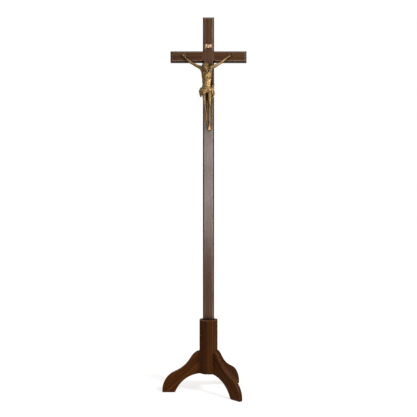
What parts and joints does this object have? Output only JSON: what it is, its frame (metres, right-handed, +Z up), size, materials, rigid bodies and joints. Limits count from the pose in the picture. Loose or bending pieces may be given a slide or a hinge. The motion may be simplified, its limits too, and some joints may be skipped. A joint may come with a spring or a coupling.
{
  "type": "processional cross with floor stand",
  "caption": "Tall wooden processional cross with a cast figure and scroll plate, lifting out of an octagonal socket carried on curved legs.",
  "frame": {"origin": "on the floor, under the axis of the upright and its socket", "axes": "+Z up along the upright, +X to the right of a viewer who faces the figure, -Y the way the figure looks"},
  "size_m": [0.4495, 0.3788, 2],
  "materials": {
    "cross_wood": "satin",
    "stand_wood": "satin",
    "dowel_wood": "matte",
    "gilt_metal": "satin",
    "steel": "satin",
    "felt": "matte"
  },
  "bodies": {
    "stand": {"sleeve_front_half": "stand_wood", "sleeve_back_half": "stand_wood", "socket_floor_block": "stand_wood", "leg_left": "stand_wood", "leg_front_right": "stand_wood", "leg_back_right": "stand_wood", "leg_dowels": "dowel_wood", "felt_pads": "felt"},
    "cross": {"cross_upright": "cross_wood", "crossbar": "cross_wood", "lap_screws": "steel", "lap_screw_plugs": "cross_wood", "title_scroll": "gilt_metal", "title_pins": "gilt_metal", "corpus_body": "gilt_metal", "corpus_right_arm": "gilt_metal", "corpus_left_arm": "gilt_metal", "corpus_arm_pins": "steel", "corpus_back_screw": "steel", "hand_nails": "gilt_metal", "foot_nail": "gilt_metal"}
  },
  "joints": [
    {"name": "cross_lift", "type": "slide", "parent": "stand", "child": "cross", "axis": [0, 0, 1], "range_m": [0, 0.27]}
  ]
}
